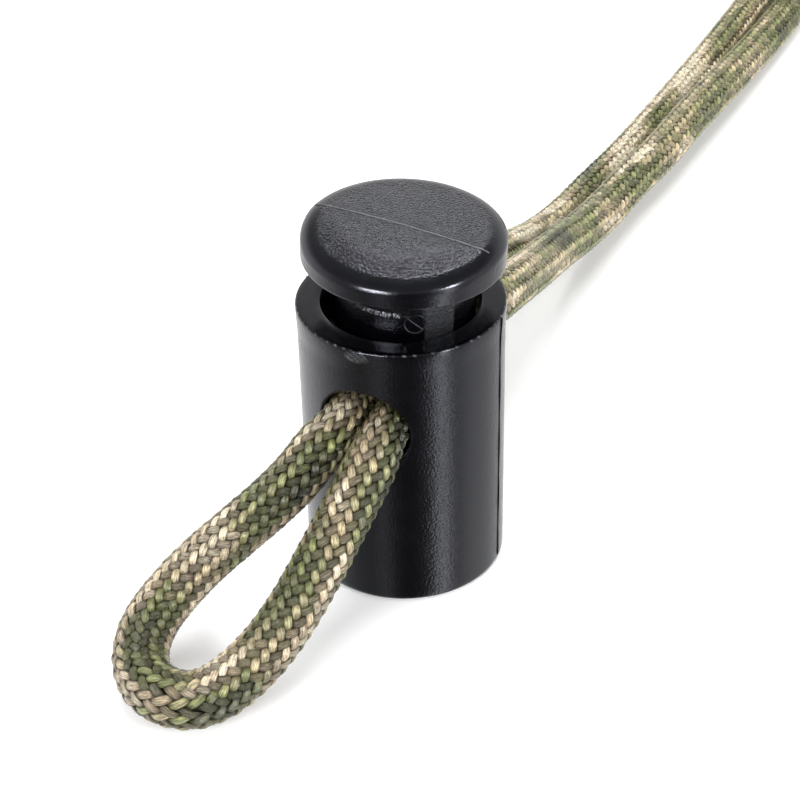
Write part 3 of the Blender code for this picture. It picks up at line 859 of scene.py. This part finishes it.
def make_plunger(material):
    foot = -STEM_LENGTH
    seat = foot + SEAT_DEPTH
    spans = ((foot + STEM_CHAMFER, FACET_FOOT - 0.1, 18), (FACET_FOOT + 0.1, 0, 9))
    stem_z = np.concatenate([np.linspace(*span) for span in spans])
    profile = [(0, seat), (SEAT_RADIUS, seat), (SEAT_RADIUS, foot), (STEM_RADIUS - STEM_CHAMFER, foot)]
    profile += [(STEM_RADIUS, z) for z in stem_z]
    side = BUTTON_SIDE - BUTTON_TOP_DROP - 0.06
    rounding = BUTTON_FOOT_ROUNDING
    profile += arc((BUTTON_RADIUS - rounding, rounding), rounding, -90, 0, 4)
    profile += [(BUTTON_RADIUS, z) for z in np.linspace(0.35, side - 0.08, 5)]
    edge = BUTTON_RADIUS - BUTTON_TOP_ROUNDING * (1 - np.cos(np.radians(np.linspace(0, 90, 15))))
    top_rows = [*edge, *((BUTTON_RADIUS - BUTTON_TOP_ROUNDING) * np.linspace(1, 0, 30)[1:])]
    profile += [(r, float(button_top(np.array(r), np.array(0.0)))) for r in top_rows]
    v, faces = turned(profile, segments=192)
    crest = behind_crest(v[:, 0], v[:, 1])
    in_button = v[:, 2] > rounding + 0.01
    rise = np.clip((v[:, 2] - rounding) / (side - rounding), 0, 1)
    v[:, 2] -= np.where(in_button, rise * (gable(crest) + front_droop(v[:, 0], v[:, 1])), 0)
    r = np.hypot(v[:, 0], v[:, 1])
    in_stem = (~in_button) & (r < STEM_RADIUS + 0.01)
    turn = np.arctan2(v[:, 0], -v[:, 1]) - math.radians(FACET_TURN)
    reach = FACET_DISTANCE / np.maximum(np.cos(turn), 0.5)
    near = in_stem & (r > STEM_RADIUS - 0.01) & (np.abs(turn) < 0.5) & (v[:, 2] > FACET_FOOT)
    v[:, :2] *= np.where(near, np.minimum(1, reach / np.maximum(r, 1)), 1)[:, None]
    v[in_stem, 0] += STEM_SHIFT
    plunger = weld(add_mesh("plunger_button", v, faces, material), 1e-8)
    half = WINDOW_WIDTH / 2
    sides = (STEM_SHIFT - half, STEM_SHIFT + half)
    window = rounded_rectangle(*sides, WINDOW_BOTTOM, WINDOW_TOP, WINDOW_CORNER)
    low, high = STEM_SHIFT - RECESS_WIDTH / 2, STEM_SHIFT + RECESS_WIDTH / 2
    recess = rounded_rectangle(low, high, -RECESS_HEIGHT, -0.01, 0.12, 3)
    cutters = [weld(add_mesh("window", *prism(window, -7, 7), material), 1e-8)]
    for start, end in ((-6, -STEM_RADIUS + RECESS_DEPTH), (STEM_RADIUS - RECESS_DEPTH, 6)):
        cutters.append(weld(add_mesh("recess", *prism(recess, start, end), material), 1e-8))
    subtract(plunger, cutters)
    body_count = len(plunger.data.vertices)
    append_parts(plunger, plunger_marks())
    plunger.data.shade_smooth()
    plunger.data.set_sharp_from_angle(angle=math.radians(38))
    x, y, z = coordinates(plunger).T
    added = np.arange(len(z)) >= body_count
    facet = np.abs(np.degrees(np.arctan2(x - STEM_SHIFT, -y)) - FACET_TURN) < 13
    ledge = (np.abs(z + RECESS_HEIGHT) < 0.05) & (np.abs(x - STEM_SHIFT) < 2.3)
    rough_stem = (z < -0.005) & (facet | ledge)
    bead = added & (z < -RECESS_HEIGHT + 0.25) & (z > -RECESS_HEIGHT - 0.55)
    smooth_band = smooth_step((BUTTON_RADIUS - 0.75 - np.hypot(x, y)) / 0.7)
    grained = np.where(z > 1.2, 0.12 + 0.88 * smooth_band, 0.3)
    mark(plunger, "grained", np.where(bead, 0.6, np.where(rough_stem, 1.2, grained)))
    # The top's parting line is painted pale, a painted highlight along its crest. The ejector's ring and
    # slash, the facet and the recess's ledge are painted a little pale, a little painted highlight on them.
    pale = np.where(rough_stem & (z > FACET_FOOT), 0.12, 0.0)
    pale = np.where(added, np.where(z > 0, 0.7, 0.1), pale)
    mark(plunger, "pale_mark", np.where(bead, 0.02, pale))
    tilt = Euler((0, PLUNGER_CANT, 0)).to_matrix().to_4x4()
    plunger.data.transform(Matrix.Translation(Vector(PLUNGER_PLACE) * MM) @ tilt)
    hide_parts("plunger")
    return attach(plunger, "plunger")


def append_parts(made, parts):
    """Adds closed parts, in millimetres, to a mesh."""
    shape = bmesh.new()
    shape.from_mesh(made.data)
    for verts, faces in parts:
        new = [shape.verts.new(Vector(q) * MM) for q in verts]
        added = [shape.faces.new([new[i] for i in q]) for q in faces]
        bmesh.ops.recalc_face_normals(shape, faces=added)
    shape.to_mesh(made.data)
    shape.free()


# ---------------------------------------------------------------- spring
def make_spring(material):
    low, high = SPRING_FOOT + WIRE_RADIUS, SPRING_TOP - WIRE_RADIUS
    steps, sides = 260, 14
    t = np.linspace(0, 1, steps)
    angle = 2 * math.pi * SPRING_TURNS * t
    out = np.stack([np.cos(angle), np.sin(angle), np.zeros(steps)], 1)
    line = SPRING_RADIUS * out + (low + (high - low) * t)[:, None] * [0, 0, 1]
    up = np.cross(unit(np.gradient(line, axis=0)), out)
    ring = np.linspace(0, 2 * math.pi, sides, endpoint=False)[:, None]
    verts = line[:, None] + WIRE_RADIUS * (np.cos(ring) * out[:, None] + np.sin(ring) * up[:, None])
    made = add_mesh("spring_coil", verts.reshape(-1, 3), closed_tubes((steps, sides)), material, sharp=50)
    weld(made, 1e-9)
    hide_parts("spring")
    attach(made, "barrel")
    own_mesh(made)
    return made


# ---------------------------------------------------------------- drawcord
# Light (+) and dark (-) patches of the pattern: place along the cord, angle, half sizes, lift.
LOOP_PATCHES = [
    (6.8, 356, 2.0, 27, 0.53), (6.8, 305, 2.0, 26, 0.30), (9.4, 19, 2.5, 17, 0.63),
    (11.2, 261, 2.0, 25, 0.32), (12.9, 325, 4.4, 92, -0.40), (14.3, 276, 2.2, 36, 0.52),
    (16.2, 22, 1.6, 55, -0.41), (17.0, 28, 1.3, 15, 0.58), (18.2, 293, 9.0, 20, -0.90),
    (19.2, 318, 2.0, 26, 0.24), (19.3, 226, 1.8, 54, -0.90), (19.5, 294, 4.2, 12, 0.63),
    (21.4, 306, 6.1, 92, 0.90), (23.9, 348, 1.5, 18, -0.30), (25.1, 13, 2.2, 14, 0.50),
    (25.7, 327, 6.7, 61, -0.72), (33.8, 39, 9.0, 19, 0.56), (36.1, 2, 2.3, 12, 0.61),
    (37.8, 40, 3.3, 43, -0.90), (38.4, 326, 2.5, 92, 0.53), (42.1, 323, 4.6, 12, -0.24),
    (46.7, 360, 2.4, 21, -0.28), (47.2, 79, 7.8, 16, 0.90), (49.2, 57, 2.8, 13, 0.83),
    (50.1, 312, 1.8, 12, 0.90), (50.2, 299, 4.3, 43, -0.45), (50.6, 75, 0.9, 13, -0.33),
    (51.6, 17, 2.0, 25, 0.23), (53.1, 340, 1.4, 33, 0.44), (54.2, 78, 9.0, 36, -0.88),
    (56.6, 62, 3.8, 15, 0.44), (58.8, 338, 2.0, 27, 0.33), (59.4, 60, 1.2, 25, -0.38),
    (61.3, 3, 2.0, 67, -0.31),
]
LEFT_PATCHES = [
    (37.5, 54, 1.9, 13, 0.53), (38.0, 22, 4.1, 27, 0.95), (41.1, 55, 1.7, 31, -0.58),
    (44.7, 57, 4.7, 15, 0.95), (47.0, 1, 3.2, 17, 0.74), (57.9, 343, 3.4, 75, -0.46),
    (59.8, 44, 3.0, 25, 0.93), (64.9, 86, 2.8, 26, 0.68), (67.2, 1, 9.0, 27, 0.95),
    (71.0, 10, 5.4, 23, -0.90), (77.8, 49, 3.3, 21, 0.68), (81.9, 1, 7.5, 39, 0.74),
    (82.7, 71, 2.5, 27, 0.79), (87.1, 16, 5.5, 24, -0.46), (101.4, 72, 8.7, 21, 0.39),
    (102.9, 37, 3.4, 25, 0.38),
]
RIGHT_PATCHES = [
    (9.9, 14, 1.2, 91, 0.08), (12.1, 73, 3.7, 12, 0.71), (19.2, 354, 7.1, 77, 0.22),
    (33.5, 22, 3.1, 24, -0.95), (44.0, 32, 2.8, 15, -0.17), (46.1, 84, 2.6, 15, 0.78),
    (50.5, 354, 2.3, 11, -0.15), (55.1, 341, 3.4, 11, 0.88), (56.1, 66, 3.0, 70, -0.23),
    (58.1, 5, 2.4, 17, 0.68), (64.6, 87, 2.1, 13, 0.81), (68.5, 296, 3.7, 61, -0.12),
    (73.3, 60, 3.0, 30, -0.41), (85.4, 99, 3.5, 27, 0.21), (92.7, 61, 2.8, 37, -0.34),
    (96.7, 66, 3.0, 27, -0.36),
]


def clamped(route, free):
    """Radius along a route: squeezed inside the lock, full outside it."""
    y = np.abs(route.centre[:, 1])
    radius = CORD_MOUTH_RADIUS + (free - CORD_MOUTH_RADIUS) * smooth_step((y - 6.9) / 2.9)
    return lambda s: np.interp(s, route.s, radius)


def declare(made, route):
    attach(made, "barrel")
    route.rings(1.0)


def make_cords(material):
    loop = Route(LOOP_ROUTE)
    plain = clamped(loop, CORD_VISUAL_RADIUS)

    def swollen(s):
        return plain(s) + 0.15 * np.exp(-(((s - loop.length * 0.53) / 11.0) ** 2))

    made = braid("loop_braid", loop, swollen, material, seed=11, steps_a_turn=84, patches=LOOP_PATCHES,
                 spread=0.2, ground=0.15, bright=1.35, gap=0.05, painted_way_light=0.58)
    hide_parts("cord_loop")
    declare(made, loop)
    for name, points, seed, node_name, patches, ground in (
        ("tail_left_braid", TAIL_LEFT_ROUTE, 23, "cord_tail_left", LEFT_PATCHES, 0.03),
        ("tail_right_braid", TAIL_RIGHT_ROUTE, 37, "cord_tail_right", RIGHT_PATCHES, 0.07),
    ):
        route = Route(points)
        # The tails' colours are painted lighter than the loop's, with lighter painted shade between the
        # stitches: painted light on the same yarn.
        made = braid(name, route, clamped(route, CORD_VISUAL_RADIUS - 0.04), material, seed,
                     steps_a_turn=60, patches=patches, spread=0.3, ground=ground, bright=2.15,
                     gap=0.2, painted_way_light=0.75)
        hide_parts(node_name)
        declare(made, route)


# ---------------------------------------------------------------- hank
NEAR_TURN, FAR_TURN = 118.0, 176.0
WAIST_DRAW = 6.0
LAYERS = (1.95, 5.8)
WAIST_LAYERS = (2.35, 5.3)
CLIMB_START, CLIMB_LENGTH = 141.0, 21.0
TIP_Y = 139.0
HANK_RADIUS, PRESS = 1.92, 0.42
TIE_HALF, TIE_FOOT, TIE_TOP, TIE_CORNER, TIE_OVERLAP = 8.25, 0.35, 7.2, 2.6, 3.4
TIE_HALF_WIDTH, TIE_HALF_THICKNESS, TIE_STEP = 3.45, 0.2, 0.3


def waist_share(y):
    """1 at the tie, 0 at both turns."""
    return (1 - math.cos(2 * math.pi * (y - NEAR_TURN) / (FAR_TURN - NEAR_TURN))) / 2


def hank_point(side, turn_radius, y, layer):
    """Centre of a run of cord at y: side is +1 or -1, and layer goes from 0 to 1."""
    draw = waist_share(y) if NEAR_TURN < y < FAR_TURN else 0
    low = LAYERS[0] + (WAIST_LAYERS[0] - LAYERS[0]) * draw
    high = LAYERS[1] + (WAIST_LAYERS[1] - LAYERS[1]) * draw
    return (side * (turn_radius - WAIST_DRAW * draw), y, low + (high - low) * layer)


def hank_lane(turn_radius, entry, tip_y):
    """One tail's way through the hank: out, back, up a layer, out and back again to its tip."""
    points = list(entry)
    runs = np.linspace(NEAR_TURN + 4, FAR_TURN, 9)

    def turn(centre, side, height):
        """Half a turn, from the run at x = side * turn_radius to the other one."""
        for a in np.radians(np.arange(20, 180, 20)):
            reach = side * turn_radius
            points.append((reach * math.cos(a), centre + reach * math.sin(a), height))

    points += [hank_point(1, turn_radius, y, 0) for y in runs]
    turn(FAR_TURN, 1, LAYERS[0])
    for y in runs[::-1]:
        climb = float(smooth_step((CLIMB_START - y) / CLIMB_LENGTH))
        points.append(hank_point(-1, turn_radius, y, climb))
    points.append((-turn_radius, NEAR_TURN, LAYERS[1]))
    turn(NEAR_TURN, -1, LAYERS[1])
    points.append((turn_radius, NEAR_TURN, LAYERS[1]))
    points += [hank_point(1, turn_radius, y, 1) for y in runs]
    turn(FAR_TURN, 1, LAYERS[1])
    last = [y for y in runs[::-1] if y > tip_y + 2] + [tip_y]
    points += [hank_point(-1, turn_radius, y, 1) for y in last]
    return Route(points)


def flattened(route):
    """Radius round the cord: pressed flat under the tie."""
    y = route.centre[:, 1]
    press = np.array([waist_share(v) ** 6 if NEAR_TURN < v < FAR_TURN else 0 for v in y])

    def radius(s, angle):
        p = np.interp(s, route.s, press)
        tall, wide = HANK_RADIUS - PRESS * p, HANK_RADIUS
        return tall * wide / np.hypot(wide * np.cos(angle), tall * np.sin(angle))

    return radius


def make_tie(material):
    """A woven band round the hank's waist, its end laid over itself."""
    middle = (NEAR_TURN + FAR_TURN) / 2
    outline = rounded_rectangle(-TIE_HALF, TIE_HALF, TIE_FOOT, TIE_TOP, TIE_CORNER, 10)
    outline = np.array(outline[::-1])
    start = int(np.argmin(np.hypot(outline[:, 0] - 5.0, outline[:, 1] - TIE_TOP)))
    ends = [[-TIE_OVERLAP, TIE_TOP]], [[TIE_OVERLAP, TIE_TOP]]
    path = resample(np.vstack([ends[0], outline[start:], outline[:start], ends[1]]), TIE_STEP)
    count = len(path)
    along = np.arange(count) * TIE_STEP
    rise = smooth_step((along - (along[-1] - 13.0)) / 4.0) * 0.56
    run = unit(np.gradient(path, axis=0))
    out = np.stack([-run[:, 1], run[:, 0]], 1)
    path = path + out * rise[:, None]
    columns = 41
    across = np.concatenate([np.linspace(-1, 1, columns), np.linspace(1, -1, columns)[1:-1]])
    level = np.concatenate([np.ones(columns), -np.ones(columns - 2)])
    edge = np.sqrt(np.maximum(0.0, 1 - np.abs(across) ** 14))
    verts = []
    for i in range(count):
        weave = 0.05 * np.cos(math.pi * i + np.round(across * 10) * math.pi) * edge
        depth = TIE_HALF_THICKNESS * level * (0.5 + 0.5 * edge) + weave * level
        verts.append(np.stack([path[i, 0] + out[i, 0] * depth, middle + across * TIE_HALF_WIDTH,
                               path[i, 1] + out[i, 1] * depth], 1))
    faces = closed_tubes((count, len(across)))
    made = weld(add_mesh("hank_band", np.vstack(verts), faces, material, sharp=60), 1e-9)
    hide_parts("hank_tie")
    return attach(made, "barrel")


def make_hank(cord_material, tie_material):
    tie = make_tie(tie_material)
    lanes = (
        ("hank_outer_braid", 12.0, 51, TAIL_RIGHT_ROUTE[-1], (4.35, 6.9, 9.8)),
        ("hank_inner_braid", 8.0, 67, TAIL_LEFT_ROUTE[-1], (0.35, 2.9, 5.8)),
    )
    for name, radius, seed, tail_end, xs in lanes:
        entry = [tail_end] + [(x, y, LAYERS[0]) for x, y in zip(xs, (107.0, 111.2, 115.2))]
        route = hank_lane(radius, entry, TIP_Y)
        made = braided_tube(name, route, flattened(route), cord_material, seed)
        if radius > 10:
            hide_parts("cord_hank")
        declare(made, route)


# ---------------------------------------------------------------- stage
# The white tent's brightness by azimuth, in degrees from the front (-Y) towards +X. The camera's
# side is dark, with a bright strip to the right of it.
TENT = [
    (-180, 1.0), (-128, 1.2), (-92, 1.4), (-68, 1.0), (-44, 0.48), (-20, 0.34), (-9, 0.3), (-5, 0.75),
    (1, 0.75), (6, 0.22), (24, 0.09), (38, 0.11), (52, 0.32), (61, 0.7), (66, 4.0), (70, 4.0),
    (75, 0.9), (88, 0.6), (100, 1.05), (136, 0.9), (180, 1.0),
]
TENT_PEAK = 4.0
# Its brightness overhead, by the height of the direction: 0 is the horizon and 1 straight up.
ABOVE = [(0.0, 0.75), (0.5, 0.52), (0.62, 0.38), (0.82, 0.32), (1.0, 0.35)]

LIT_HEIGHT = 0.015
CAMERA_PLACE = (52.88, -119.31, 103.53)
CAMERA_RIGHT, CAMERA_UP = (0.9186, 0.3946, -0.0190), (-0.2107, 0.5299, 0.8215)
CAMERA_BACK = (0.3342, -0.7507, 0.5699)
LENS, SENSOR = 97.08, 36
FLOOR_HALF, FLOOR_DROP = 1500, 0.02


def toward(azimuth, elevation, distance):
    """A point at an azimuth from the front, an elevation and a distance from the lock."""
    a, e = math.radians(azimuth), math.radians(elevation)
    level = distance * math.cos(e)
    return (level * math.sin(a), -level * math.cos(a), distance * math.sin(e) + LIT_HEIGHT)


def softbox(name, azimuth, elevation, distance, size, radiance, glossy=True):
    """A rectangular light that faces the lock; radiance 1 is white."""
    data = bpy.data.lights.new(name, "AREA")
    data.shape = "RECTANGLE"
    data.size, data.size_y = size
    data.energy = math.pi * size[0] * size[1] * radiance
    made = in_scene(name, data)
    place = Vector(toward(azimuth, elevation, distance))
    made.location = place
    made.rotation_euler = (Vector((0, 0, LIT_HEIGHT)) - place).to_track_quat("-Z", "Y").to_euler()
    made.visible_glossy = glossy
    return made


def make_tent():
    """The studio's light from all round: a tent that is dark on the camera's side."""
    world = bpy.data.worlds.new("studio")
    bpy.context.scene.world = world
    world.use_nodes = True
    tree = world.node_tree
    way = node(tree, "ShaderNodeSeparateXYZ")
    link(node(tree, "ShaderNodeTexCoord"), "Generated", way, "Vector")
    forward = node(tree, "ShaderNodeMath", {1: -1.0}, operation="MULTIPLY")
    link(way, "Y", forward, 0)
    azimuth = node(tree, "ShaderNodeMath", operation="ARCTAN2")
    link(way, "X", azimuth, 0)
    link(forward, "Value", azimuth, 1)
    share = node(tree, "ShaderNodeMapRange", {"From Min": -math.pi, "From Max": math.pi})
    link(azimuth, "Value", share, "Value")
    band = ramp(tree, [((a + 180) / 360, grey(v / TENT_PEAK)) for a, v in TENT])
    link(share, "Result", band, "Fac")

    above = ramp(tree, [(z, grey(v / TENT_PEAK)) for z, v in ABOVE])
    link(way, "Z", above, "Fac")
    high = node(tree, "ShaderNodeMapRange", {"From Min": 0.25, "From Max": 0.6},
                interpolation_type="SMOOTHSTEP")
    link(way, "Z", high, "Value")
    mixed = node(tree, "ShaderNodeMix", data_type="RGBA")
    link(high, "Result", mixed, "Factor")
    link(band, "Color", mixed, "A")
    link(above, "Color", mixed, "B")
    sky = tree.nodes["Background"]
    link(mixed, "Result", sky, "Color")
    set_inputs(sky, {"Strength": TENT_PEAK})


def make_stage():
    data = bpy.data.cameras.new("camera")
    camera = in_scene("camera", data)
    data.sensor_width, data.lens = SENSOR, LENS
    data.clip_start, data.clip_end = 0.005, 10
    turn = Matrix((CAMERA_RIGHT, CAMERA_UP, CAMERA_BACK)).transposed().to_4x4()
    camera.matrix_world = Matrix.Translation(Vector(CAMERA_PLACE) * MM) @ turn
    bpy.context.scene.camera = camera

    floor_material, _, shader = new_material("floor")
    set_inputs(shader, {"Base Color": (0.93, 0.93, 0.94, 1), "Roughness": 0.9,
                        "Emission Color": (1, 1, 1, 1), "Emission Strength": 0.22})
    corners = np.array([(-1, -1, 0), (1, -1, 0), (1, 1, 0), (-1, 1, 0)]) * float(FLOOR_HALF)
    floor = add_mesh("floor", corners - [0, 0, FLOOR_DROP], [[0, 1, 2, 3]], floor_material)
    floor.visible_glossy = False

    make_tent()
    # Name, azimuth, elevation, distance, size and radiance of each softbox.
    softbox("left", -8, 27, 0.40, (0.17, 0.06), 38)
    softbox("right", 72, 27, 0.40, (0.06, 0.07), 45)
    softbox("behind", 197, 58, 0.50, (0.10, 0.08), 36).visible_diffuse = False
    softbox("overhead", 180, 80, 0.50, (0.35, 0.35), 6.5, glossy=False)
    bpy.context.scene.view_settings.view_transform = "Standard"


barrel_plastic = plastic("barrel_plastic", (0.0008, 0.0008, 0.0014), roughness=0.14, bump_height=0.028)
button_plastic = plastic("plunger_plastic", (0.0009, 0.0009, 0.0016), roughness=0.16, bump_height=0.075)
yarn = yarn_material()
make_barrel(barrel_plastic)
make_plunger(button_plastic)
make_spring(steel_material())
make_cords(yarn)
make_hank(yarn, tie_material())
make_stage()
